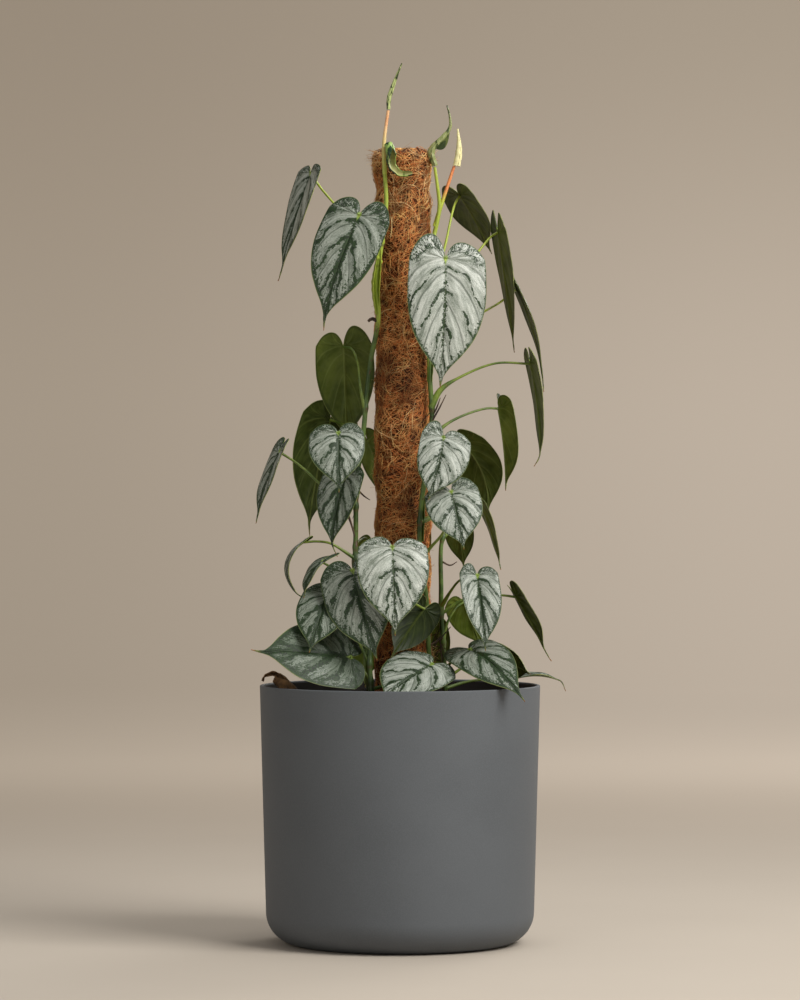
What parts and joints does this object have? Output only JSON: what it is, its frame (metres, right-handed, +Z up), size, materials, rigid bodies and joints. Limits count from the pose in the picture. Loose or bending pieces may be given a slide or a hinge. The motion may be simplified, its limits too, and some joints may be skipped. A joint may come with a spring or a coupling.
{
  "type": "potted silver leaf philodendron",
  "caption": "Silver-leaf philodendron climbing a coir pole in a round matte dark grey pot, with heart-shaped silver and green leaves.",
  "frame": {"origin": "centre of the pot's flat foot", "axes": "+Z up, -Y towards the viewer of the picture, +X to the picture's right"},
  "size_m": [0.3316, 0.3, 0.9382],
  "materials": {
    "pot": "matte dark grey, fine eggshell",
    "soil": "dark crumbly potting mix",
    "coir": "matted brown coconut fibre",
    "stake": "rough wood",
    "vine": "smooth green stem",
    "leaf": "satin silver over dark green",
    "new_leaf": "soft young leaf",
    "dry_leaf": "dry brown"
  },
  "bodies": {
    "root": {"pot": "pot", "soil": "soil", "pole_coir": "coir", "pole_stake": "stake", "vine_left": "vine", "vine_right": "vine", "vine_side": "vine", "vine_low": "vine", "vine_back": "vine", "leaf_left_1": "leaf", "leaf_left_2": "leaf", "leaf_left_3": "leaf", "leaf_left_4": "leaf", "leaf_left_5": "leaf", "leaf_left_6": "leaf", "leaf_left_7": "leaf", "leaf_left_8": "leaf", "leaf_left_9": "leaf", "leaf_right_1": "leaf", "leaf_right_2": "leaf", "leaf_right_3": "leaf", "leaf_right_4": "leaf", "leaf_right_5": "leaf", "leaf_right_6": "leaf", "leaf_right_7": "leaf", "leaf_right_8": "leaf", "leaf_right_9": "leaf", "leaf_right_10": "leaf", "leaf_side_1": "leaf", "leaf_side_2": "leaf", "leaf_side_3": "leaf", "leaf_side_4": "leaf", "leaf_side_5": "leaf", "leaf_side_6": "leaf", "leaf_side_7": "leaf", "leaf_low_1": "leaf", "leaf_low_2": "leaf", "leaf_low_3": "leaf", "leaf_low_4": "leaf", "leaf_low_5": "leaf", "leaf_low_6": "leaf", "leaf_back_1": "leaf", "leaf_back_2": "leaf", "leaf_back_3": "leaf", "leaf_back_4": "leaf", "leaf_back_5": "leaf", "leaf_back_6": "leaf", "leaf_back_7": "leaf", "leaf_back_8": "leaf", "new_spike": "new_leaf", "new_curl": "new_leaf", "new_roll": "new_leaf", "new_bud": "new_leaf", "dry_leaf": "dry_leaf"}
  },
  "joints": []
}
